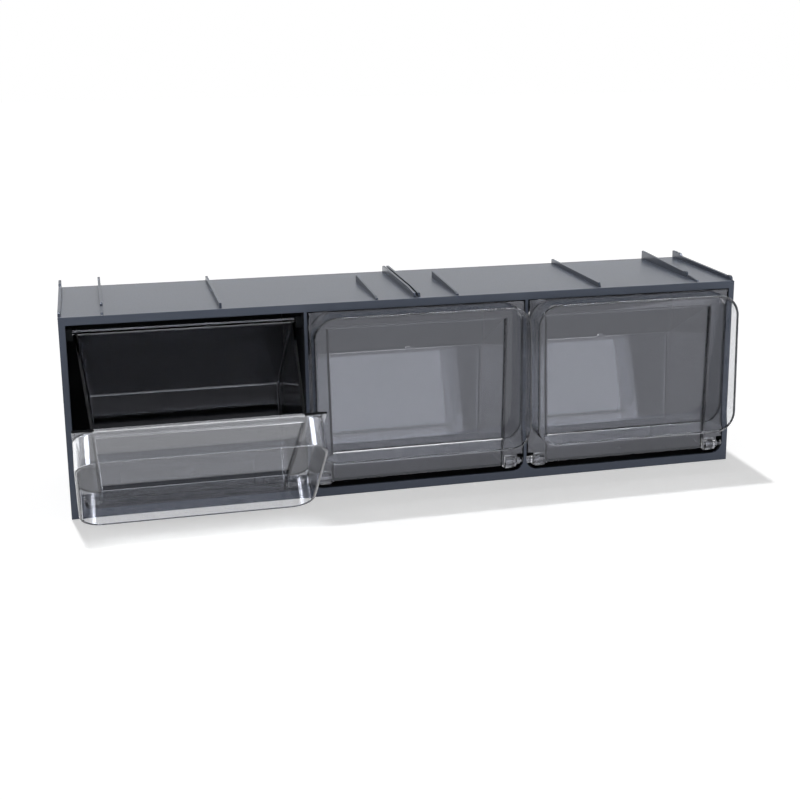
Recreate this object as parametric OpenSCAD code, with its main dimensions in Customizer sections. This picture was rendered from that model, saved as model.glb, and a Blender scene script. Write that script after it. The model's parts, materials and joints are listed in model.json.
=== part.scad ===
// Tilt-out storage bins: one dark moulded cabinet that holds a row of clear bins.
// Each bin turns on two short pins at its lower front corners and tips forward to its stop.
// Origin: middle of the cabinet's footprint, on the surface it stands on.
// X runs along the row, Y to the back, Z up. All sizes are in millimetres.

/* [Cabinet] */
// Overall width of the cabinet
cab_w = 600; // [480:1:720]
// Height of the cabinet without its top fins
cab_h = 173; // [172:0.5:200]
// Depth of the cabinet
cab_d = 134; // [132:0.5:170]
// Thickness of the outer panels
wall_t = 2.5; // [2:0.1:3]
// Thickness of the front frame, front to back
frame_t = 2.5; // [2:0.1:3]
// Width of the frame's side strips
strip_w = 5.5; // [5:0.1:8]
// Height of the frame's top rail
top_rail_h = 7; // [5:0.1:9]
// Height of the frame's bottom rail
bottom_rail_h = 7.8; // [5:0.1:8.5]
// Thickness of the walls between the bins
divider_t = 3; // [3:0.1:4]
// Radius of the openings' lower corners
foot_r = 10; // [5:0.5:12]
// Depth of the pads that carry the outer pins
pad_d = 12; // [9:0.5:16]
// Height of the pads that carry the outer pins
pad_h = 16; // [12:0.5:16]

/* [Top fins] */
// Thickness of the fins
fin_t = 2.2; // [1.6:0.1:2.5]
// Distance of the locking fins from the cabinet's middle
lock_x = 265; // [240:1:280]
// Height of the locking fins at the back
lock_h = 8; // [6:0.1:10]
// Distance of the low fins from the cabinet's middle
low_x = 169; // [120:1:200]
// Height of the low fins
low_h = 4; // [2:0.1:6]
// Distance of the short fins from the cabinet's middle
short_x = 36; // [20:1:60]
// Length of the short fins, front to back
short_l = 88; // [40:1:120]
// Height of the short fins at their back end
short_h = 6; // [4:0.1:8]
// Gap between the two blades of the middle fin
twin_gap = 1.6; // [1:0.1:3]
// Height of the middle fin
twin_h = 5; // [3:0.1:7]
// Height of the fins on the two ends
edge_h = 4.2; // [3:0.1:6]
// Extra height of the end fins' back hooks
hook_rise = 2.4; // [1:0.1:4]
// Set-back of the fins from the cabinet's front
fin_back = 3; // [2.5:0.1:6]

/* [Pivots] */
// Pivot axis behind the cabinet's front plane
pivot_y = 4; // [4:0.1:5]
// Pivot axis above the cabinet's base
pivot_z = 16; // [15.5:0.1:17]
// Diameter of the bins' pins
pin_d = 6; // [4:0.1:6]
// Running clearance around a pin
pin_clear = 0.08; // [0.03:0.01:0.1]
// Depth that a pin reaches into the wall
pin_bite = 1.3; // [1:0.05:1.35]
// Diameter of the round feet that carry the pins
foot_d = 12; // [9:0.1:12]
// Rounding of the feet's outer ends
foot_round = 2.5; // [1:0.1:3]
// Depth of the stop lugs' rear faces behind the front plane
stop_y = 12.75; // [12:0.05:20]

/* [Bin front] */
// Gap between a bin's flange and the sides of its opening
side_gap = 1.25; // [0.8:0.05:2]
// Gap between a bin's flange and the top rail
top_gap = 0.7; // [0.5:0.05:1.5]
// Thickness of the clear walls
bin_t = 2; // [1.5:0.1:2.2]
// Lower end of the flange's legs
leg_z = 24; // [22:0.5:26]
// Distance from the flange's edge to the side of a foot
foot_inset = 4.9; // [3:0.1:6]
// Distance from the flange's edge to the pane at its top
pane_inset = 16.4; // [15:0.1:18]
// How much the pane narrows to its bottom on each side
pane_draft = 2.5; // [1:0.1:3]
// Drop from the flange's top to the pane's top
pane_drop = 15.3; // [13:0.1:25]
// Underside of the bin
floor_z = 12.5; // [12:0.1:13]
// Depth of the pane's back behind the cabinet's front plane
pane_back = 5; // [4:0.1:5.5]
// Diameter of the moulding point on the pane
gate_d = 4.5; // [3:0.1:6]

/* [Grip rim] */
// Reach of the rim in front of the flange at its top
grip_top = 25.5; // [20:0.1:28]
// Reach of the rim in front of the flange at its bottom
grip_bottom = 28.5; // [25:0.1:30]
// Underside of the rim
grip_z = 37; // [36:0.5:50]
// Corner radius of the rim
grip_r = 19; // [10:0.5:25]
// Wall thickness of the rim
grip_t = 2.2; // [1.5:0.1:3]

/* [Tray] */
// Depth of the tray's floor behind the pane
tray_d = 95; // [80:0.5:100]
// Drop from the flange's top to the edge of the tray's rear wall
rear_drop = 67.3; // [64:0.1:80]
// How far the rear wall leans back over its height
rear_lean = 18; // [10:0.5:20]
// How much a side widens along the floor
floor_flare = 5.5; // [3:0.1:6]
// How much a side widens up the rear wall
rear_flare = 5.1; // [3:0.1:5.6]
// Rounding of the tray's outer corners
tray_r = 4; // [3:0.1:6]
// Height and depth of the bar along the rear wall's edge
bar_s = 3.5; // [2.5:0.1:4]
// Distance from the bar's end to the wall beside it
bar_gap = 3.2; // [2.6:0.1:4]
// Distance of the small bump on the bar from the bin's middle
bump_x = 18; // [0:1:60]

/* [Hidden] */
$fn = 64;

cabinet_colour = "#474b55";
clear_colour = "#c3c9ce";
bay_n = 3;
front_y = -cab_d / 2;
end_x = cab_w / 2 - wall_t;
bay_w = (cab_w - 2 * strip_w - (bay_n - 1) * divider_t) / bay_n;
bay_top = cab_h - top_rail_h;
inside_h = cab_h - 2 * wall_t;
wall_back = cab_d - wall_t;

flange_hw = bay_w / 2 - side_gap;
flange_top = bay_top - top_gap;
foot_hw = flange_hw - foot_inset;
pane_hw = flange_hw - pane_inset;
pane_top = flange_top - pane_drop;
pane_low_hw = pane_hw - pane_draft;
foot_in_hw = pane_hw + 0.5;
pin_end_hw = bay_w / 2 + pin_bite;
bar_hw = bay_w / 2 - bar_gap;

bend_y = pane_back + tray_d;
rim_y = bend_y + rear_lean;
rim_z = flange_top - rear_drop;
rear_h = rim_z - floor_z;
bar_y = rim_y - 1;
bar_z = rim_z + 1 - bar_s;
bump = [5, 3, 2.5];
lug = [5, 3, 10];
seat_gap = 0.3;
// the bin tips until the top front corner of its rear bar is just behind the lugs
bar_arm = [bar_y - pivot_y, bar_z + bar_s - pivot_z];
open_angle = acos((stop_y + seat_gap - pivot_y) / norm(bar_arm)) - atan2(bar_arm[1], bar_arm[0]);
stop_z = pivot_z + norm(bar_arm) * sin(open_angle + atan2(bar_arm[1], bar_arm[0]));
rest_y = 84;
rest_w = 120;

// Middle of bay i, counted from the left
function bay_x(i) = -cab_w / 2 + strip_w + bay_w / 2 + i * (bay_w + divider_t);
// Half-width of the tray's inside at depth y and height z
function side_hw(y, z) = let (along = (y - pane_back) / tray_d, up = (z - floor_z) / rear_h)
    pane_low_hw + floor_flare * along
    + (pane_draft * rear_h / (pane_top - floor_z) * (1 - along) + rear_flare * along) * up;

// Moves a piece drawn from the front plane's middle to its place
module from_front() translate([0, front_y, 0]) children();
// Extrudes a side outline (y, z) along x, centred on x = 0
module across(w) rotate([90, 0, 90]) translate([0, 0, -w / 2]) linear_extrude(w) children();
// Extrudes a front outline (x, z) along y, from y0 to y1
module deep(y0, y1) translate([0, y1, 0]) rotate([90, 0, 0]) linear_extrude(y1 - y0) children();
// Draws a piece at both sides of the middle
module both() for (s = [0, 1]) mirror([s, 0, 0]) children();

// Outline of the small web in the lower corner of an opening
module foot_web() difference() {
    square(foot_r);
    translate([foot_r, foot_r]) circle(foot_r);
}

// Hole for a pin, right through whatever is beside a bay
module pin_hole(x, w) translate([x, pivot_y, pivot_z]) rotate([0, 90, 0])
    cylinder(d = pin_d + 2 * pin_clear, h = w);

module top_panel() color(cabinet_colour) from_front()
    translate([-cab_w / 2, frame_t, cab_h - wall_t]) cube([cab_w, cab_d - frame_t, wall_t]);

module bottom_panel() color(cabinet_colour) from_front()
    translate([-cab_w / 2, frame_t, 0]) cube([cab_w, cab_d - frame_t, wall_t]);

module back_panel() color(cabinet_colour) from_front()
    translate([-end_x, wall_back, wall_t]) cube([2 * end_x, wall_t, inside_h]);

// End wall with its frame strip, corner web and the pad that carries a pin; drawn at the right
module end_wall() color(cabinet_colour) from_front() difference() {
    union() {
        translate([end_x, frame_t, wall_t]) cube([wall_t, cab_d - frame_t, inside_h]);
        translate([cab_w / 2 - strip_w, 0, bottom_rail_h])
            cube([strip_w, frame_t, bay_top - bottom_rail_h]);
        deep(0, frame_t) translate([cab_w / 2 - strip_w, bottom_rail_h]) mirror([1, 0]) foot_web();
        translate([cab_w / 2 - strip_w, frame_t, bottom_rail_h])
            cube([strip_w - wall_t, pad_d - frame_t, pad_h]);
    }
    pin_hole(cab_w / 2 - strip_w - foot_r, foot_r + strip_w - wall_t);
}

module left_wall() mirror([1, 0, 0]) end_wall();
module right_wall() end_wall();

// Wall between bay i and the next one
module divider(i) color(cabinet_colour) from_front()
    translate([bay_x(i) + (bay_w + divider_t) / 2, 0, 0]) difference() {
        union() {
            translate([-divider_t / 2, frame_t, wall_t])
                cube([divider_t, wall_back - frame_t, inside_h]);
            translate([-divider_t / 2, 0, bottom_rail_h])
                cube([divider_t, frame_t, bay_top - bottom_rail_h]);
            both() deep(0, frame_t) translate([divider_t / 2, bottom_rail_h]) foot_web();
        }
        pin_hole(-divider_t / 2 - foot_r, divider_t + 2 * foot_r);
    }

module left_divider() divider(0);
module right_divider() divider(1);

module top_rail() color(cabinet_colour) from_front()
    translate([-cab_w / 2, 0, bay_top]) cube([cab_w, frame_t, top_rail_h]);

module bottom_rail() color(cabinet_colour) from_front()
    translate([-cab_w / 2, 0, 0]) cube([cab_w, frame_t, bottom_rail_h]);

// A fin on the top panel: its side outline has y from the front and z over the panel
module fin(x, t, outline) color(cabinet_colour) from_front()
    translate([x, 0, cab_h]) across(t) polygon(outline);

module edge_fins() both() fin(end_x + wall_t / 2, wall_t, [
    [fin_back, 0], [fin_back + 1, edge_h - 1.5], [fin_back + 3, edge_h - 0.4],
    [fin_back + 7, edge_h - 0.4], [fin_back + 10, edge_h - 1.6], [fin_back + 14, edge_h - 1],
    [cab_d - 20, edge_h], [cab_d - 17, edge_h + hook_rise], [cab_d - 12, edge_h + hook_rise],
    [cab_d - 10.5, edge_h + 0.6 * hook_rise], [cab_d - 9, edge_h + hook_rise],
    [cab_d, edge_h + hook_rise], [cab_d, 0]]);

module locking_fins() both() fin(lock_x, fin_t, [
    [fin_back, 0], [fin_back + 2, 1.6], [fin_back + 6, 1.8], [fin_back + 18, 3], [fin_back + 21, 3],
    [fin_back + 21.4, 0.8], [fin_back + 24, 0.8], [fin_back + 24.4, 4.4], [fin_back + 26, 5.4],
    [fin_back + 29, 5.4], [fin_back + 31, 4.6], [cab_d - 1, lock_h], [cab_d, lock_h - 0.6],
    [cab_d, 0]]);

module low_fins() both() fin(low_x, fin_t, [
    [fin_back, 0], [fin_back + 3, low_h], [cab_d - 0.8, low_h], [cab_d, low_h - 0.8], [cab_d, 0]]);

module short_fins() both() fin(short_x, fin_t, [
    [fin_back, 0], [fin_back, 1.4], [fin_back + 3, 1.4], [fin_back + 6, 2.6],
    [fin_back + short_l - 0.8, short_h], [fin_back + short_l, short_h - 0.8],
    [fin_back + short_l, 0]]);

module middle_fin() both() fin((fin_t + twin_gap) / 2, fin_t, [
    [fin_back + 1, 0], [fin_back + 3, twin_h - 1.5], [fin_back + 30, twin_h],
    [cab_d - 3, twin_h + 0.8], [cab_d - 0.8, twin_h + 0.4], [cab_d, twin_h - 0.8], [cab_d, 0]]);

// Lugs beside each bay that an open bin's rear bar comes up against
module stop_lugs() color(cabinet_colour) from_front()
    for (i = [0 : bay_n - 1], s = [-1, 1]) {
        outer = (s < 0 && i == 0) || (s > 0 && i == bay_n - 1);
        wall_hw = outer ? end_x - abs(bay_x(i)) : bay_w / 2;
        inner_hw = bay_w / 2 - lug[0];
        translate([bay_x(i) + s * (inner_hw + wall_hw) / 2, stop_y - lug[1] / 2, stop_z])
            cube([wall_hw - inner_hw, lug[1], lug[2]], center = true);
    }

// Low ribs on the cabinet's floor that a closed bin settles on
module rest_ribs() color(cabinet_colour) from_front() for (i = [0 : bay_n - 1])
    translate([bay_x(i) - rest_w / 2, rest_y, wall_t])
        cube([rest_w, wall_t, floor_z - seat_gap - wall_t]);

// Outline of the pane's opening, grown by g on its sides and top
module pane_outline(g) polygon([
    [-pane_low_hw - g, floor_z], [pane_low_hw + g, floor_z],
    [pane_hw + g, pane_top + g], [-pane_hw - g, pane_top + g]]);

// Pin and round foot at the right of a bin, turned from one profile about the pivot axis
module pin_foot() translate([0, pivot_y, pivot_z]) rotate([0, 90, 0]) {
    translate([0, 0, foot_hw - 1]) cylinder(d = pin_d, h = pin_end_hw - foot_hw + 1);
    rotate_extrude() {
        translate([0, foot_in_hw]) square([foot_d / 2 - foot_round, foot_hw - foot_in_hw]);
        translate([0, foot_in_hw]) square([foot_d / 2, foot_hw - foot_in_hw - foot_round]);
        intersection() {
            translate([foot_d / 2 - foot_round, foot_hw - foot_round]) circle(foot_round);
            translate([0, foot_in_hw]) square([foot_d / 2, foot_hw - foot_in_hw]);
        }
    }
}

// Flange, stepped-back pane, round feet and pins of one bin, closed and in its own middle
module bin_front() {
    deep(0, bin_t) difference() {
        union() {
            translate([-flange_hw, leg_z]) square([2 * flange_hw, flange_top - leg_z]);
            translate([-foot_hw, pivot_z]) square([2 * foot_hw, leg_z - pivot_z]);
        }
        translate([0, -1]) pane_outline(0);
        pane_outline(0);
    }
    deep(0, pane_back) difference() {
        pane_outline(bin_t);
        pane_outline(0);
    }
    deep(pane_back - bin_t, pane_back) pane_outline(bin_t);
    translate([0, pane_back - bin_t, floor_z + 7]) rotate([90, 0, 0]) cylinder(d = gate_d, h = 0.5);
    both() pin_foot();
}

// Rounded outline of the grip rim, shrunk by g
module rim_outline(g) {
    hw = flange_hw - g;
    r = grip_r - g;
    low = grip_z + g;
    high = flange_top - g;
    translate([-hw, low + r]) square([2 * hw, high - low - 2 * r]);
    translate([-hw + r, low]) square([2 * (hw - r), high - low]);
    for (x = [-hw + r, hw - r], z = [low + r, high - r]) translate([x, z]) circle(r);
}

// Open-fronted rim that a hand pulls the bin by; its front edge leans forward to the bottom
module bin_grip() intersection() {
    deep(-grip_bottom - 1, 0) difference() {
        rim_outline(0);
        rim_outline(grip_t);
    }
    across(2 * flange_hw + 2) polygon([
        [0, grip_z - 1], [-grip_bottom, grip_z], [-grip_top, flange_top], [-grip_top, flange_top + 1],
        [0, flange_top + 1], [0, grip_z - 1]]);
}

// The tray's form with corners of radius r; both skins share the same corner points
module tray_form(r) hull() {
    inset = tray_r - bin_t;
    low = floor_z + bin_t;
    high = pane_top + 12;
    ahead = -20;
    back_high = bend_y + rear_lean / rear_h * (high - floor_z);
    for (s = [-1, 1], p = [[ahead, low, 0, 1], [ahead, high, 0, 0],
                           [bend_y, low, 1, 1], [back_high, high, 1, 0]])
        translate([s * (side_hw(p[0], p[1]) - inset), p[0] - p[2] * inset, p[1] + p[3] * inset])
            sphere(r, $fn = 24);
}

// Tray behind the pane, with the bar and small bump on its rear edge
module bin_tray() {
    difference() {
        tray_form(tray_r);
        tray_form(tray_r - bin_t);
        // everything in front of the pane's back
        translate([-cab_w / 2, -cab_d, -cab_h]) cube([cab_w, cab_d + pane_back, 3 * cab_h]);
        // everything over the sloping top edges
        across(cab_w) polygon([[pane_back - 1, pane_top + (pane_top - rim_z) / (rim_y - pane_back)],
            [rim_y, rim_z], [2 * cab_d, rim_z], [2 * cab_d, 2 * cab_h], [pane_back - 1, 2 * cab_h]]);
    }
    translate([-bar_hw, bar_y, bar_z]) cube([2 * bar_hw, bar_s, bar_s]);
    translate([bump_x - bump[0] / 2, bar_y, bar_z + bar_s - 1]) cube(bump + [0, 0, 1]);
}

// Puts a bin's piece in bay i, turned forward by an angle about its pivot
module in_bay(i, a) color(clear_colour) from_front() translate([bay_x(i), pivot_y, pivot_z])
    rotate([a, 0, 0]) translate([0, -pivot_y, -pivot_z]) children();

top_panel();
bottom_panel();
back_panel();
left_wall();
right_wall();
left_divider();
right_divider();
top_rail();
bottom_rail();
edge_fins();
locking_fins();
low_fins();
short_fins();
middle_fin();
stop_lugs();
rest_ribs();
in_bay(0, open_angle) bin_front();  // left_bin_front
in_bay(0, open_angle) bin_grip();  // left_bin_grip
in_bay(0, open_angle) bin_tray();  // left_bin_tray
in_bay(1, 0) bin_front();  // middle_bin_front
in_bay(1, 0) bin_grip();  // middle_bin_grip
in_bay(1, 0) bin_tray();  // middle_bin_tray
in_bay(2, 0) bin_front();  // right_bin_front
in_bay(2, 0) bin_grip();  // right_bin_grip
in_bay(2, 0) bin_tray();  // right_bin_tray
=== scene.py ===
import json
import math

import bmesh
import bpy
from mathutils import Matrix, Vector


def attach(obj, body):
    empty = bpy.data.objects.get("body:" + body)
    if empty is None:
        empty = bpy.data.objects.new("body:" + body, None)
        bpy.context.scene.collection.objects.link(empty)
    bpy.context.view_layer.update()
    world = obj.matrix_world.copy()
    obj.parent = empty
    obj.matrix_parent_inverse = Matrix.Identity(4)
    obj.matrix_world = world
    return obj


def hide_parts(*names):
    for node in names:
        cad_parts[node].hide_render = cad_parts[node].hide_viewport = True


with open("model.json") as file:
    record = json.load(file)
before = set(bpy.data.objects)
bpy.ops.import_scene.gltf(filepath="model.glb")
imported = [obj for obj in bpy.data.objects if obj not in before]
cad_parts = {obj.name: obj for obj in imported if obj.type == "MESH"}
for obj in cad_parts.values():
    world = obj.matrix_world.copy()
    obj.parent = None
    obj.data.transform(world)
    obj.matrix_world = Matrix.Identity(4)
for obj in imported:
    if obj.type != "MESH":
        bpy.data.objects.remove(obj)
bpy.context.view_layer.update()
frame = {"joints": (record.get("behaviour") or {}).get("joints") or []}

mm = 0.001
white = (1, 1, 1, 1)


# Camera, solved from the photograph's own edges
cameraView = {
    "spot": (-272.2, -1186.3, 408.6),  # mm, in the row frame
    "turn": 15.55,  # degrees to the right of straight at the front
    "dip": 13.64,  # degrees below level
    "focalPx": 1358.0,
    "centrePx": (462.2, 347.3),  # where the lens axis meets the picture
    "framePx": 800.0,
    "sensor": 36.0,  # mm
    "nearest": 20.0,  # mm; nothing closer than this is drawn
}


def makeCamera(view):
    data = bpy.data.cameras.new("photoCamera")
    data.sensor_width = view["sensor"]
    data.lens = view["sensor"] * view["focalPx"] / view["framePx"]
    data.shift_x = -(view["centrePx"][0] / view["framePx"] - 0.5)
    data.shift_y = view["centrePx"][1] / view["framePx"] - 0.5
    data.clip_start = view["nearest"] * mm
    camera = bpy.data.objects.new("photoCamera", data)
    camera.location = Vector(view["spot"]) * mm
    camera.rotation_euler = (math.radians(90 - view["dip"]), 0, math.radians(-view["turn"]))
    bpy.context.scene.collection.objects.link(camera)
    bpy.context.scene.camera = camera


makeCamera(cameraView)
print("camera set")


# Colour and material helpers
def linearColour(hexText):
    # the sRGB curve, undone
    parts = [int(hexText[i:i + 2], 16) / 255 for i in (1, 3, 5)]
    return tuple(c / 12.92 if c <= 0.04045 else ((c + 0.055) / 1.055) ** 2.4 for c in parts) + (1,)


def addNode(tree, kind, settings=None, **links):
    # a link is named for its socket, with _ for a space, or in0, in1 and so on for its number
    node = tree.nodes.new(kind)
    for key, value in (settings or {}).items():
        if key in node.inputs:
            node.inputs[key].default_value = value
        else:
            setattr(node, key, value)
    for key, source in links.items():
        number = key[2:]
        byNumber = key.startswith("in") and number.isdigit()
        socket = node.inputs[int(number) if byNumber else key.replace("_", " ")]
        tree.links.new(source, socket)
    return node


def newMaterial(name):
    material = bpy.data.materials.new(name)
    material.use_nodes = True
    material.node_tree.nodes.clear()
    return material, material.node_tree


# ABS, injection moulded in a fine spark-eroded tool: an even blue-grey body under a satin skin
# that mirrors the room at a low angle, so the top looks far paler than the front
absLook = {
    "body": "#3f4552",
    "shade": "#39404b",
    "sheen": "#d6dff4",  # the pigment tints the gloss a little
    "ior": 1.55,
    "roughness": 0.33,
    "roughSpread": 0.07,
    "grainMm": 0.9,  # the tool's grain is near 0.15 mm, drawn coarser so that it shows
    "grainDepthMm": 0.012,
    "cloudMm": 70.0,  # slow shifts of tint where the melt cooled
}


# Painted shade: the same ABS inside the cabinet, drawn matt and nearly black with dim gloss, for the
# shade deep within
insideShadeLook = dict(absLook, body="#242628", shade="#202224", sheen="#505254", roughness=0.6)


def makeAbs(name, look):
    material, tree = newMaterial(name)
    place = addNode(tree, "ShaderNodeTexCoord")
    cloud = addNode(tree, "ShaderNodeTexNoise",
                    {"Scale": 1 / (look["cloudMm"] * mm), "Detail": 2.0},
                    Vector=place.outputs["Object"])
    tint = addNode(tree, "ShaderNodeMix", {"data_type": "RGBA", "clamp_factor": True},
                   in0=cloud.outputs["Fac"])
    firstColour, secondColour, mixedColour = 6, 7, 2  # the Mix node's colour sockets
    tint.inputs[firstColour].default_value = linearColour(look["shade"])
    tint.inputs[secondColour].default_value = linearColour(look["body"])
    grain = addNode(tree, "ShaderNodeTexNoise",
                    {"Scale": 1 / (look["grainMm"] * mm), "Detail": 3.0},
                    Vector=place.outputs["Object"])
    skin = addNode(tree, "ShaderNodeMapRange",
                   {"To Min": look["roughness"] - look["roughSpread"],
                    "To Max": look["roughness"] + look["roughSpread"]},
                   Value=grain.outputs["Fac"])
    bump = addNode(tree, "ShaderNodeBump",
                   {"Strength": 1.0, "Distance": look["grainDepthMm"] * mm},
                   Height=grain.outputs["Fac"])
    shader = addNode(tree, "ShaderNodeBsdfPrincipled",
                     {"IOR": look["ior"], "Specular Tint": linearColour(look["sheen"])},
                     Base_Color=tint.outputs[mixedColour], Roughness=skin.outputs["Result"],
                     Normal=bump.outputs["Normal"])
    addNode(tree, "ShaderNodeOutputMaterial", Surface=shader.outputs["BSDF"])
    return material


# General-purpose polystyrene, injection moulded in a polished tool: water-clear with bright edges,
# a faint grey tint, patches of slight haze and slow ripples that bend the reflections
polystyreneLook = {
    "body": "#f0f1f4",
    "sheen": "#eff2fd",
    "ior": 1.59,
    "roughness": 0.035,
    "hazeRange": (0.6, 1.5),  # shares of the roughness at the clearest and the haziest spots
    "hazeMm": 9.0,  # patches of the tool's polish
    "rippleMm": 26.0,  # flow marks in the melt
    "rippleDepthMm": 0.025,
    "upright": 0.35,  # both run up the walls, so they are drawn longer that way
    "passed": "#f6f7f8",  # what is left of a lamp's light behind a wall
}


def makePolystyrene(look):
    material, tree = newMaterial("clearPolystyrene")
    place = addNode(tree, "ShaderNodeTexCoord")
    stretch = addNode(tree, "ShaderNodeMapping", {"Scale": (1.0, 1.0, look["upright"])},
                      Vector=place.outputs["Object"])
    ripple = addNode(tree, "ShaderNodeTexNoise",
                     {"Scale": 1 / (look["rippleMm"] * mm), "Detail": 1.0},
                     Vector=stretch.outputs["Vector"])
    haze = addNode(tree, "ShaderNodeTexNoise",
                   {"Scale": 1 / (look["hazeMm"] * mm), "Detail": 2.0},
                   Vector=stretch.outputs["Vector"])
    clearest, haziest = look["hazeRange"]
    soft = addNode(tree, "ShaderNodeMapRange",
                   {"To Min": look["roughness"] * clearest, "To Max": look["roughness"] * haziest},
                   Value=haze.outputs["Fac"])
    bump = addNode(tree, "ShaderNodeBump",
                   {"Strength": 1.0, "Distance": look["rippleDepthMm"] * mm},
                   Height=ripple.outputs["Fac"])
    shader = addNode(tree, "ShaderNodeBsdfPrincipled",
                     {"IOR": look["ior"], "Transmission Weight": 1.0,
                      "Base Color": linearColour(look["body"]),
                      "Specular Tint": linearColour(look["sheen"])},
                     Roughness=soft.outputs["Result"], Normal=bump.outputs["Normal"])
    # lamps shine through the thin walls, which leaves only a faint shadow
    path = addNode(tree, "ShaderNodeLightPath")
    clear = addNode(tree, "ShaderNodeBsdfTransparent", {"Color": linearColour(look["passed"])})
    both = addNode(tree, "ShaderNodeMixShader", in0=path.outputs["Is Shadow Ray"],
                   in1=shader.outputs["BSDF"], in2=clear.outputs["BSDF"])
    addNode(tree, "ShaderNodeOutputMaterial", Surface=both.outputs["Shader"])
    return material


mouldedAbs = makeAbs("mouldedAbs", absLook)
# the second ABS is painted shade for the cabinet's inside faces
insideShadeAbs = makeAbs("insideShadeAbs", insideShadeLook)
clearPolystyrene = makePolystyrene(polystyreneLook)
print("materials made")


# Mesh helpers; all sizes in mm until a piece is finished
def solidFromRings(rings):
    mesh = bmesh.new()
    rows = [[mesh.verts.new(point) for point in ring] for ring in rings]
    count = len(rows[0])
    for low, high in zip(rows, rows[1:]):
        for i in range(count):
            j = (i + 1) % count
            mesh.faces.new((low[i], low[j], high[j], high[i]))
    mesh.faces.new(list(reversed(rows[0])))
    mesh.faces.new(rows[-1])
    bmesh.ops.recalc_face_normals(mesh, faces=mesh.faces)
    return mesh


def prism(outline, y0, y1):
    # outline is (x, z); the solid runs along y
    return solidFromRings([[(x, y, z) for x, z in outline] for y in (y0, y1)])


def sideSlab(outline, x0, x1):
    # outline is (y, z); the solid runs along x
    return solidFromRings([[(x, y, z) for y, z in outline] for x in (x0, x1)])


def block(x0, x1, y0, y1, z0, z1):
    return prism([(x0, z0), (x1, z0), (x1, z1), (x0, z1)], y0, y1)


def circle(radius, steps):
    angles = [2 * math.pi * i / steps for i in range(steps)]
    return [(radius * math.cos(angle), radius * math.sin(angle)) for angle in angles]


def rod(x0, x1, y, z, radius, endRound=0.0, steps=48, endSteps=6):
    # a round bar along x, with its far end rounded
    stations = [(x0, radius)]
    if endRound:
        for k in range(endSteps + 1):
            angle = math.radians(90 * k / endSteps)
            stations.append((x1 - math.copysign(endRound, x1 - x0) * (1 - math.sin(angle)),
                             radius - endRound * (1 - math.cos(angle))))
    else:
        stations.append((x1, radius))
    return solidFromRings([[(x, y + across, z + up) for across, up in circle(reach, steps)]
                           for x, reach in stations])


def roundCorners(points, radii, steps=8):
    # replaces each corner of a flat outline by an arc of its own radius
    out = []
    count = len(points)
    for i in range(count):
        corner = Vector(points[i])
        toLast = (Vector(points[i - 1]) - corner).normalized()
        toNext = (Vector(points[(i + 1) % count]) - corner).normalized()
        radius = radii[i]
        half = toLast.angle(toNext) / 2
        reach = radius / math.tan(half)
        centre = corner + (toLast + toNext).normalized() * (radius / math.sin(half))
        start = corner + toLast * reach - centre
        end = corner + toNext * reach - centre
        sweep = start.angle_signed(end)
        for k in range(steps + 1):
            turn = -sweep * k / steps
            out.append((centre.x + start.x * math.cos(turn) - start.y * math.sin(turn),
                        centre.y + start.x * math.sin(turn) + start.y * math.cos(turn)))
    return out


def toObject(mesh, name):
    data = bpy.data.meshes.new(name)
    mesh.to_mesh(data)
    mesh.free()
    obj = bpy.data.objects.new(name, data)
    bpy.context.scene.collection.objects.link(obj)
    return obj


def combine(base, others, how):
    # one boolean after another, each applied at once
    for other in others:
        tool = toObject(other, "tool")
        step = base.modifiers.new("step", "BOOLEAN")
        step.operation = how
        step.solver = "MANIFOLD"
        step.object = tool
        bpy.context.view_layer.update()
        graph = bpy.context.evaluated_depsgraph_get()
        result = bpy.data.meshes.new_from_object(base.evaluated_get(graph))
        base.modifiers.clear()
        old = base.data
        base.data = result
        bpy.data.meshes.remove(old)
        bpy.data.objects.remove(tool)


mouldingFinish = {
    "weldMm": 0.004,  # points closer than this become one
    "flatWithin": 0.6,  # degrees; faces that differ less than this are joined
    "roundOver": 35.0,  # degrees; an edge that turns more than this is rounded
    "roundSteps": 2,
}


def finishMoulding(obj, edgeMm, clamp=True):
    # cleans the cut faces, rounds the edges and scales to metres; the clamp holds a whole piece's
    # rounding back to what its shortest edges allow, so that thin walls don't fold
    mesh = bmesh.new()
    mesh.from_mesh(obj.data)
    bmesh.ops.remove_doubles(mesh, verts=mesh.verts, dist=mouldingFinish["weldMm"])
    bmesh.ops.dissolve_limit(mesh, angle_limit=math.radians(mouldingFinish["flatWithin"]),
                             verts=mesh.verts, edges=mesh.edges)
    bmesh.ops.scale(mesh, vec=(mm, mm, mm), verts=mesh.verts)
    mesh.to_mesh(obj.data)
    mesh.free()
    rounding = obj.modifiers.new("edgeRounding", "BEVEL")
    rounding.width = edgeMm * mm
    rounding.segments = mouldingFinish["roundSteps"]
    rounding.limit_method = "ANGLE"
    rounding.angle_limit = math.radians(mouldingFinish["roundOver"])
    rounding.use_clamp_overlap = clamp
    even = obj.modifiers.new("evenNormals", "WEIGHTED_NORMAL")
    even.keep_sharp = True
    for face in obj.data.polygons:
        face.use_smooth = True


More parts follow.
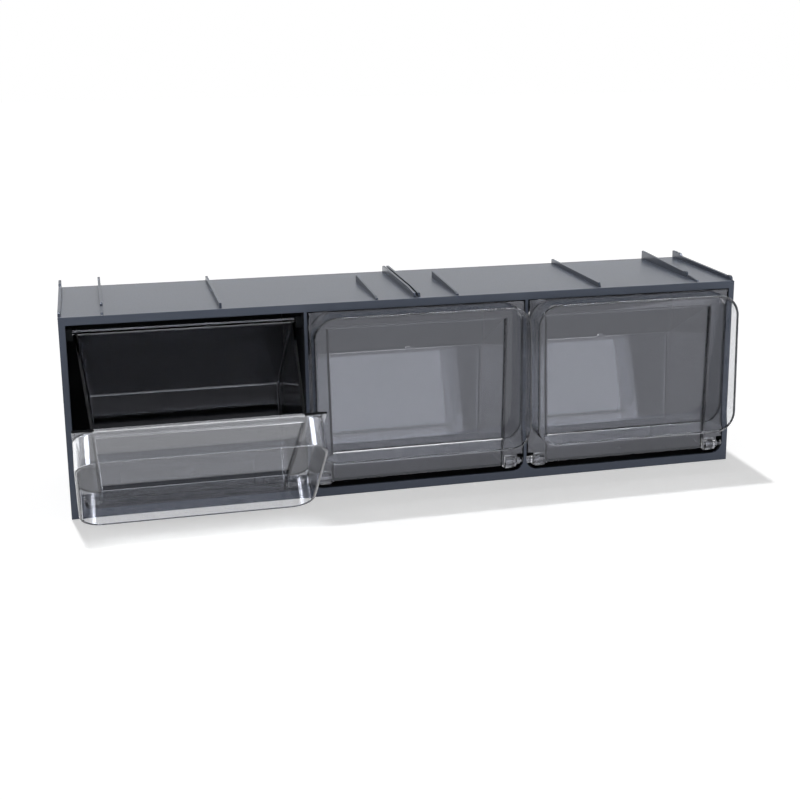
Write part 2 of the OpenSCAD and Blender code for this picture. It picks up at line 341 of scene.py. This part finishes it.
# The cabinet: one moulding, cut from a block as its tool would form it. y runs back from the front
cabinetShape = {
    "width": 600.0,
    "height": 173.0,
    "depth": 134.0,
    "wall": 2.5,
    "frame": 2.5,  # thickness of the front frame
    "strip": 5.5,  # width of the frame at both ends
    "topRail": 7.0,
    "bottomRail": 7.8,
    "divider": 3.0,
    "footRadius": 10.0,  # a bay's lower corners, round for the bins' feet
    "square": 0.01,  # radius that stands for a square corner
    "padDepth": 12.0,  # pads behind the end strips carry the outer pins
    "padHeight": 16.0,
    "pivot": (4.0, 16.0),  # y and z
    "pinHole": 3.08,  # radius
    "padHoleRun": 12.0,  # how far inside the strip a pad's hole is started
    "dividerHoleRun": 14.0,  # each way from a divider's middle
    "stopY": 12.75,  # back face of the stop lugs
    "stopZ": 155.92,
    "lugReach": 5.0,
    "lugDepth": 3.0,
    "lugHeight": 10.0,
    "restY": 84.0,
    "restWidth": 120.0,
    "restTop": 12.2,
    "overlap": 0.5,  # how far joined forms run into each other
    "overrun": 1.0,  # how far a cut starts outside the block
    "skin": 1.0,  # faces deeper than this below the outside are inside faces, drawn with painted shade
    "edge": 0.4,
}


def bayWidth(shape):
    return (shape["width"] - 2 * shape["strip"] - 2 * shape["divider"]) / 3


def baysOf(shape):
    # for each bay: its middle, the sides of its opening, and the sides of the room behind
    half, wall, bay = shape["width"] / 2, shape["wall"], bayWidth(shape)
    for place in (-1, 0, 1):
        middle = place * (bay + shape["divider"])
        left, right = middle - bay / 2, middle + bay / 2
        roomLeft = -half + wall if place < 0 else left
        roomRight = half - wall if place > 0 else right
        yield middle, left, right, roomLeft, roomRight


def bayCuts(shape):
    height, depth, wall = shape["height"], shape["depth"], shape["wall"]
    low, high = shape["bottomRail"], height - shape["topRail"]
    radii = [shape["footRadius"], shape["footRadius"], shape["square"], shape["square"]]
    cuts = []
    for middle, left, right, roomLeft, roomRight in baysOf(shape):
        cuts.append(block(roomLeft, roomRight, shape["frame"], depth - wall, wall, height - wall))
        opening = roundCorners([(left, low), (right, low), (right, high), (left, high)], radii)
        cuts.append(prism(opening, -shape["overrun"], shape["frame"] + shape["overlap"]))
    return cuts


def restsAndLugs(shape):
    wall, overlap = shape["wall"], shape["overlap"]
    forms = []
    for middle, left, right, roomLeft, roomRight in baysOf(shape):
        forms.append(block(middle - shape["restWidth"] / 2, middle + shape["restWidth"] / 2,
                           shape["restY"], shape["restY"] + wall, wall - overlap, shape["restTop"]))
        for side, wallX in ((-1, roomLeft), (1, roomRight)):
            inner = middle + side * (bayWidth(shape) / 2 - shape["lugReach"])
            lugLeft, lugRight = sorted((inner, wallX + side * overlap))
            forms.append(block(lugLeft, lugRight, shape["stopY"] - shape["lugDepth"], shape["stopY"],
                               shape["stopZ"] - shape["lugHeight"] / 2,
                               shape["stopZ"] + shape["lugHeight"] / 2))
    return forms


def pinPads(shape):
    half, overlap, low = shape["width"] / 2, shape["overlap"], shape["bottomRail"]
    pads = []
    for side in (-1, 1):
        padLeft, padRight = sorted((side * (half - shape["strip"]),
                                    side * (half - shape["wall"] + overlap)))
        pads.append(block(padLeft, padRight, shape["frame"] - overlap, shape["padDepth"],
                          low, low + shape["padHeight"]))
    return pads


def pinHoles(shape):
    half, divider = shape["width"] / 2, (bayWidth(shape) + shape["divider"]) / 2
    padRun, dividerRun = shape["padHoleRun"], shape["dividerHoleRun"]
    pivotY, pivotZ = shape["pivot"]
    runs = [(side * (half - shape["strip"] - padRun), side * (half - shape["wall"]))
            for side in (-1, 1)]
    runs += [(side * divider - dividerRun, side * divider + dividerRun) for side in (-1, 1)]
    return [rod(start, end, pivotY, pivotZ, shape["pinHole"]) for start, end in runs]


def paintInsideShade(shell, shape):
    # faces inside the cabinet take the second material, which paints shade on them
    half, height, depth, skin = shape["width"] / 2, shape["height"], shape["depth"], shape["skin"]
    for face in shell.data.polygons:
        x, y, z = face.center / mm
        behindFrame = shape["frame"] - shape["overlap"] < y + depth / 2 < depth - skin
        if abs(x) < half - skin and behindFrame and skin < z < height - skin:
            face.material_index = 1


def makeCabinet(shape):
    half, height, depth = shape["width"] / 2, shape["height"], shape["depth"]
    shell = toObject(block(-half, half, 0, depth, 0, height), "cabinetShell")
    combine(shell, bayCuts(shape), "DIFFERENCE")
    combine(shell, restsAndLugs(shape) + pinPads(shape), "UNION")
    combine(shell, pinHoles(shape), "DIFFERENCE")
    shell.data.transform(Matrix.Translation((0, -depth / 2, 0)))
    finishMoulding(shell, shape["edge"], clamp=False)
    shell.data.materials.clear()
    shell.data.materials.append(mouldedAbs)
    # the second material is painted shade for the inside faces
    shell.data.materials.append(insideShadeAbs)
    paintInsideShade(shell, shape)
    return shell


cabinetShell = makeCabinet(cabinetShape)
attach(cabinetShell, "cabinet")
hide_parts("top_panel", "bottom_panel", "back_panel", "left_wall", "right_wall",
            "left_divider", "right_divider", "top_rail", "bottom_rail", "stop_lugs", "rest_ribs")
print("cabinet made")


# The fins on the top, in pairs either side of the middle
finShape = {
    "thick": 2.2,
    "edgeThick": 2.5,
    "start": 3.0,  # from the cabinet's front
    "sink": 0.4,  # how far they run into the top
    "edge": 0.35,
}
near = finShape["start"]
far = cabinetShape["depth"]
thin = finShape["thick"]
# each kind has its distance from the middle, its thickness, and its side outline as y from the
# cabinet's front and z over the top
finOutlines = {
    "edge_fins": (298.75, finShape["edgeThick"], [
        (near, 0), (near + 1, 2.7), (near + 3, 3.8), (near + 7, 3.8), (near + 10, 2.6),
        (near + 14, 3.2), (far - 20, 4.2), (far - 17, 6.6), (far - 12, 6.6), (far - 10.5, 5.64),
        (far - 9, 6.6), (far, 6.6), (far, 0)]),
    "locking_fins": (265.0, thin, [
        (near, 0), (near + 2, 1.6), (near + 6, 1.8), (near + 18, 3), (near + 21, 3),
        (near + 21.4, 0.8), (near + 24, 0.8), (near + 24.4, 4.4), (near + 26, 5.4),
        (near + 29, 5.4), (near + 31, 4.6), (far - 1, 8), (far, 7.4), (far, 0)]),
    "low_fins": (169.0, thin, [
        (near, 0), (near + 3, 4), (far - 0.8, 4), (far, 3.2), (far, 0)]),
    "short_fins": (36.0, thin, [
        (near, 0), (near, 1.4), (near + 3, 1.4), (near + 6, 2.6), (near + 87.2, 6),
        (near + 88, 5.2), (near + 88, 0)]),
    "middle_fin": (1.9, thin, [
        (near + 1, 0), (near + 3, 3.5), (near + 30, 5), (far - 3, 5.8), (far - 0.8, 5.4),
        (far, 4.2), (far, 0)]),
}


def makeFins(node, offset, thick, outline):
    both = bmesh.new()
    points = [(y, z if z > 0 else -finShape["sink"]) for y, z in outline]
    for side in (-1, 1):
        one = sideSlab(points, side * offset - thick / 2, side * offset + thick / 2)
        data = bpy.data.meshes.new("oneFin")
        one.to_mesh(data)
        one.free()
        both.from_mesh(data)
        bpy.data.meshes.remove(data)
    words = node.split("_")
    fins = toObject(both, words[0] + "".join(word.capitalize() for word in words[1:]))
    fins.data.transform(Matrix.Translation((0, -cabinetShape["depth"] / 2, cabinetShape["height"])))
    finishMoulding(fins, finShape["edge"])
    fins.data.materials.append(mouldedAbs)
    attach(fins, "cabinet")
    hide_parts(node)


for finNode, (finOffset, finThick, finOutline) in finOutlines.items():
    makeFins(finNode, finOffset, finThick, finOutline)
print("fins made")


# One clear bin, drawn closed: x from its middle, y from the cabinet's front plane, z from the base
binShape = {
    "pivot": (4.0, 16.0),  # y and z
    "half": 95.917,  # half-width of the flange
    "top": 165.3,
    "thick": 2.0,
    "legZ": 24.0,  # below this the flange narrows to clear the feet
    "footHalf": 91.0,  # from the middle to a foot's outer face
    "footIn": 80.0,
    "footRadius": 6.0,
    "footRound": 2.5,
    "pinRadius": 3.0,
    "pinEnd": 98.46,
    "pinSink": 2.0,
    "pinRound": 0.5,
    "paneHalf": 79.5,
    "paneLowHalf": 77.0,
    "paneTop": 150.0,
    "paneBack": 5.0,
    "floorZ": 12.5,
    "hide": 0.6,  # the flange's window edge lies inside the return's wall
    "returnFront": 0.12,  # the return joins the flange to the pane
    "returnShort": 0.4,
    "returnLift": 0.3,
    "gripTop": 25.5,  # how far the rim stands out at its top and bottom
    "gripBottom": 28.5,
    "gripZ": 37.0,
    "gripRadius": 19.0,
    "gripThick": 2.2,
    "gripInset": 0.15,
    "gripSink": 1.2,
    "bendY": 100.0,  # where the tray's floor turns up
    "bendHalf": 82.5,
    "rimY": 118.0,
    "rimZ": 98.0,
    "rimHalf": 89.3,
    "trayRadius": 4.0,
    "frontRadius": 0.6,
    "leastRadius": 0.4,
    "hollowOver": 6.0,  # how far the cut that hollows the tray runs over its top
    "hollowFlare": 1.001,
    "bar": 3.5,
    "barHalf": 93.96,
    "barOver": 1.0,  # how far the bar stands over the rim
    "bumpX": 18.0,
    "bumpWidth": 5.0,
    "bumpDepth": 3.0,
    "bumpHeight": 2.5,
    "bumpSink": 0.8,
    "gateY": 20.0,
    "gateRadius": 3.0,
    # the gate's dome as heights over the tray's floor and shares of its radius
    "gateDome": ((-0.5, 1.0), (0.0, 1.0), (0.15, 0.93), (0.3, 0.78), (0.42, 0.5), (0.49, 0.15)),
    "edge": 0.25,  # at most, since the cuts leave short edges that hold it back
}


def trayRings(shape, grow, floorZ, frontY, cornerSteps=4, wallSteps=8):
    # rings from the floor up to the sloping top; grow moves the walls out from their inside faces
    corner = shape["trayRadius"] - shape["thick"] + grow
    slope = (shape["paneTop"] - shape["rimZ"]) / (shape["rimY"] - shape["paneBack"])

    def between(low, high, level):
        return shape[low] + (shape[high] - shape[low]) * level

    def ring(level, drop):
        # level runs from 0 at the floor to 1 at the sloping top edges
        frontHalf = between("paneLowHalf", "paneHalf", level) + grow - drop
        rearHalf = between("bendHalf", "rimHalf", level) + grow - drop
        rearY = between("bendY", "rimY", level) + grow - drop
        rearRadius = max(corner - drop / 2, shape["leastRadius"])
        flat = roundCorners([(-frontHalf, frontY), (frontHalf, frontY),
                             (rearHalf, rearY), (-rearHalf, rearY)],
                            [shape["frontRadius"], shape["frontRadius"], rearRadius, rearRadius])
        out = []
        for x, y in flat:
            topZ = shape["paneTop"] - (y - shape["paneBack"]) * slope
            out.append((x, y, floorZ + (topZ - floorZ) * level))
        return out

    rings = []
    for k in range(cornerSteps + 1):
        angle = math.radians(90 * k / cornerSteps)
        rise = corner * (1 - math.cos(angle))
        base = ring(0, corner * (1 - math.sin(angle)))
        rings.append([(x, y, floorZ + rise) for x, y, z in base])
    for k in range(1, wallSteps + 1):
        rings.append(ring(k / wallSteps, 0))
    return rings


def trayHollow(shape):
    rings = trayRings(shape, 0, shape["floorZ"] + shape["thick"], shape["paneBack"])
    rings.append([(x * shape["hollowFlare"], y, z + shape["hollowOver"]) for x, y, z in rings[-1]])
    return rings


def gripRing(shape, cornerSteps=14, tipSteps=6):
    # the rim's wall, swept round its rounded outline; its front edge leans out to the bottom
    half, high = shape["half"] - shape["gripInset"], shape["top"] - shape["gripInset"]
    low, radius, thick = shape["gripZ"], shape["gripRadius"], shape["gripThick"]
    corners = [(-half, low), (half, low), (half, high), (-half, high)]
    outer = roundCorners(corners, [radius] * 4, cornerSteps)
    inner = roundCorners([(x - math.copysign(thick, x), z + (thick if z == low else -thick))
                          for x, z in corners], [radius - thick] * 4, cornerSteps)
    tip = thick / 2
    sink = shape["gripSink"]
    mesh = bmesh.new()
    rows = []
    for (outX, outZ), (inX, inZ) in zip(outer, inner):
        level = (outZ - low) / (high - low)
        reach = shape["gripBottom"] + (shape["gripTop"] - shape["gripBottom"]) * level
        section = [(0.0, sink), (0.0, -reach + tip)]  # share of the thickness, and y
        for k in range(1, tipSteps):
            angle = math.radians(180 * k / tipSteps)
            section.append((0.5 - 0.5 * math.cos(angle), -reach + tip - tip * math.sin(angle)))
        section += [(1.0, -reach + tip), (1.0, sink)]
        rows.append([mesh.verts.new((outX + (inX - outX) * share, y, outZ + (inZ - outZ) * share))
                     for share, y in section])
    count = len(rows[0])
    for i, row in enumerate(rows):
        nextRow = rows[(i + 1) % len(rows)]
        for k in range(count):
            j = (k + 1) % count
            mesh.faces.new((row[k], row[j], nextRow[j], nextRow[k]))
    bmesh.ops.recalc_face_normals(mesh, faces=mesh.faces)
    return mesh


def flangeOutline(shape):
    half, legZ, pivotZ, hide = shape["half"], shape["legZ"], shape["pivot"][1], shape["hide"]
    foot, low = shape["footHalf"], shape["paneLowHalf"] + hide
    wide, top = shape["paneHalf"] + hide, shape["paneTop"] + hide
    return [(-half, legZ), (-foot, legZ), (-foot, pivotZ), (-low, pivotZ), (-wide, top),
            (wide, top), (low, pivotZ), (foot, pivotZ), (foot, legZ), (half, legZ),
            (half, shape["top"]), (-half, shape["top"])]


def returnOutline(shape):
    # the wall round the pane, open at the bottom
    thick, low, wide = shape["thick"], shape["paneLowHalf"], shape["paneHalf"]
    bottom, top = shape["floorZ"] + shape["returnLift"], shape["paneTop"]
    return [(-low - thick, bottom), (-low, bottom), (-wide, top), (wide, top), (low, bottom),
            (low + thick, bottom), (wide + thick, top + thick), (-wide - thick, top + thick)]


def gateMark(shape, steps=24):
    # the low dome that the moulding gate leaves on the tray's floor
    floorTop = shape["floorZ"] + shape["thick"]
    return solidFromRings([[(x, shape["gateY"] + y, floorTop + rise)
                            for x, y in circle(shape["gateRadius"] * share, steps)]
                           for rise, share in shape["gateDome"]])


def makeBin(shape):
    thick, over = shape["thick"], shape["barOver"]
    pivotY, pivotZ = shape["pivot"]
    rimY, rimZ = shape["rimY"], shape["rimZ"]
    tray = trayRings(shape, thick, shape["floorZ"], shape["paneBack"] - thick)
    body = toObject(solidFromRings(tray), "clearBin")
    combine(body, [solidFromRings(trayHollow(shape))], "DIFFERENCE")
    parts = [prism(flangeOutline(shape), 0, thick),
             prism(returnOutline(shape), shape["returnFront"], shape["paneBack"] - shape["returnShort"]),
             gripRing(shape),
             block(-shape["barHalf"], shape["barHalf"], rimY - over, rimY - over + shape["bar"],
                   rimZ + over - shape["bar"], rimZ + over)]
    bumpY = rimY - shape["bumpSink"]
    parts.append(block(shape["bumpX"] - shape["bumpWidth"] / 2, shape["bumpX"] + shape["bumpWidth"] / 2,
                       bumpY, bumpY + shape["bumpDepth"], rimZ, rimZ + over + shape["bumpHeight"]))
    for side in (-1, 1):
        parts.append(rod(side * shape["footIn"], side * shape["footHalf"], pivotY, pivotZ,
                         shape["footRadius"], shape["footRound"]))
        parts.append(rod(side * (shape["footHalf"] - shape["pinSink"]), side * shape["pinEnd"],
                         pivotY, pivotZ, shape["pinRadius"], shape["pinRound"]))
    parts.append(gateMark(shape))
    combine(body, parts, "UNION")
    return body


def placeBin(drawn, joint):
    binBody = joint["child"]
    clearBin = drawn.copy()
    clearBin.data = drawn.data.copy()
    clearBin.name = binBody.split("_")[0] + "ClearBin"
    bpy.context.scene.collection.objects.link(clearBin)
    openBy = math.radians(-joint["range_deg"][0])
    pivotY, pivotZ = binShape["pivot"]
    clearBin.data.transform(Matrix.Translation(Vector(joint["pos_m"]) / mm)
                            @ Matrix.Rotation(openBy, 4, "X")
                            @ Matrix.Translation((0, -pivotY, -pivotZ)))
    finishMoulding(clearBin, binShape["edge"])
    clearBin.data.materials.clear()
    clearBin.data.materials.append(clearPolystyrene)
    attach(clearBin, binBody)
    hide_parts(binBody + "_front", binBody + "_grip", binBody + "_tray")


closedBin = makeBin(binShape)
print("bin drawn:", len(closedBin.data.polygons), "faces")
for binJoint in frame["joints"]:
    placeBin(closedBin, binJoint)
bpy.data.objects.remove(closedBin)
print("bins placed")


# Studio: a pale floor in a white room with a dim ceiling. One hard lamp above and behind throws
# the shadow forward. Four soft boxes show only to gloss and through clear plastic, where they draw
# the bright lines on the bins, and light nothing else
studioLook = {
    "floor": "#dcdcdc",
    "floorHalf": 6.0,  # metres
    "floorGlow": 0.5,  # lifts the floor to white for the camera; the shadow stays
    "floorGloss": 0.65,  # the lit floor is brighter than the picture's white where gloss shows it
    "roomLight": 0.5,
    "ceiling": 0.2,  # how bright the room is overhead
    "ceilingFrom": (0.5, 0.72),  # sine of the elevation where it starts and ends darkening
    "shadowLamp": {"aim": (0.07, -0.42, -1.0), "strength": 1.75, "spread": 2.0},
    "boxCore": 0.8,  # share of a box's half-angle that is at full brightness
    "boxes": {  # towards each box, its half-angle in degrees and its brightness
        "left": ((-0.76, -0.11, 0.64), 11, 14.0),
        "right": ((0.71, -0.16, 0.68), 11, 14.0),
        "over": ((0.34, 0.02, 0.94), 13, 16.0),
        "front": ((0.28, -0.94, 0.2), 26, 1.7),
    },
}


def seenDirectly(tree, path):
    # 1 for what the camera, gloss and clear plastic see, 0 for what only lights the object
    some = addNode(tree, "ShaderNodeMath", {"operation": "MAXIMUM"},
                   in0=path.outputs["Is Camera Ray"], in1=path.outputs["Is Glossy Ray"])
    either = addNode(tree, "ShaderNodeMath", {"operation": "MAXIMUM"},
                     in0=some.outputs[0], in1=path.outputs["Is Transmission Ray"])
    # the Math node compares with its own 0.5, so a ray that left a matt face gives 0
    early = addNode(tree, "ShaderNodeMath", {"operation": "LESS_THAN"},
                    in0=path.outputs["Diffuse Depth"])
    return addNode(tree, "ShaderNodeMath", {"operation": "MULTIPLY"},
                   in0=either.outputs[0], in1=early.outputs[0]).outputs[0]


def makeFloor(look):
    material, tree = newMaterial("paleFloor")
    path = addNode(tree, "ShaderNodeLightPath")
    matt = addNode(tree, "ShaderNodeBsdfDiffuse", {"Color": linearColour(look["floor"])})
    direct = addNode(tree, "ShaderNodeMath", {"operation": "MULTIPLY"}, in0=seenDirectly(tree, path))
    direct.inputs[1].default_value = look["floorGlow"]
    mirrored = addNode(tree, "ShaderNodeMath", {"operation": "SUBTRACT", "use_clamp": True},
                       in0=path.outputs["Is Glossy Ray"], in1=path.outputs["Is Transmission Ray"])
    glow = addNode(tree, "ShaderNodeMath", {"operation": "MULTIPLY_ADD"},
                   in0=mirrored.outputs[0], in2=direct.outputs[0])
    glow.inputs[1].default_value = look["floorGloss"]
    shine = addNode(tree, "ShaderNodeEmission", {"Color": white}, Strength=glow.outputs[0])
    both = addNode(tree, "ShaderNodeAddShader", in0=matt.outputs[0], in1=shine.outputs[0])
    addNode(tree, "ShaderNodeOutputMaterial", Surface=both.outputs[0])
    mesh = bmesh.new()
    bmesh.ops.create_grid(mesh, x_segments=1, y_segments=1, size=look["floorHalf"])
    floor = toObject(mesh, "floor")
    floor.data.materials.append(material)


def makeRoom(look):
    world = bpy.data.worlds.new("studioRoom")
    world.use_nodes = True
    tree = world.node_tree
    tree.nodes.clear()
    path = addNode(tree, "ShaderNodeLightPath")
    level = addNode(tree, "ShaderNodeMapRange", {"To Min": look["roomLight"], "To Max": 1.0},
                    Value=seenDirectly(tree, path))
    place = addNode(tree, "ShaderNodeTexCoord")
    parts = addNode(tree, "ShaderNodeSeparateXYZ", Vector=place.outputs["Generated"])
    low, high = look["ceilingFrom"]
    overhead = addNode(tree, "ShaderNodeMapRange",
                       {"From Min": low, "From Max": high, "To Min": 1.0, "To Max": look["ceiling"]},
                       Value=parts.outputs["Z"])
    dimmed = addNode(tree, "ShaderNodeMath", {"operation": "MULTIPLY"},
                     in0=level.outputs["Result"], in1=overhead.outputs["Result"])
    strength = addNode(tree, "ShaderNodeMath", {"operation": "MAXIMUM"},
                       in0=dimmed.outputs[0], in1=path.outputs["Is Camera Ray"])
    glossOnly = addNode(tree, "ShaderNodeMath", {"operation": "SUBTRACT"},
                        in0=seenDirectly(tree, path), in1=path.outputs["Is Camera Ray"])
    total = strength.outputs[0]
    for towards, halfAngle, brightness in look["boxes"].values():
        aim = addNode(tree, "ShaderNodeVectorMath", {"operation": "DOT_PRODUCT"},
                      in0=place.outputs["Generated"])
        aim.inputs[1].default_value = Vector(towards).normalized()
        glow = addNode(tree, "ShaderNodeMapRange",
                       {"From Min": math.cos(math.radians(halfAngle)),
                        "From Max": math.cos(math.radians(halfAngle * look["boxCore"])),
                        "To Max": brightness}, Value=aim.outputs["Value"])
        total = addNode(tree, "ShaderNodeMath", {"operation": "MULTIPLY_ADD"},
                        in0=glow.outputs["Result"], in1=glossOnly.outputs[0], in2=total).outputs[0]
    room = addNode(tree, "ShaderNodeBackground", {"Color": white}, Strength=total)
    addNode(tree, "ShaderNodeOutputWorld", Surface=room.outputs[0])
    bpy.context.scene.world = world


def makeShadowLamp(lampLook):
    data = bpy.data.lights.new("shadowLamp", "SUN")
    data.energy = lampLook["strength"]
    data.angle = math.radians(lampLook["spread"])
    lamp = bpy.data.objects.new("shadowLamp", data)
    lamp.rotation_euler = Vector(lampLook["aim"]).to_track_quat("-Z", "Y").to_euler()
    bpy.context.scene.collection.objects.link(lamp)


makeFloor(studioLook)
makeRoom(studioLook)
makeShadowLamp(studioLook["shadowLamp"])
bpy.context.scene.view_settings.view_transform = "Standard"
print("studio made")
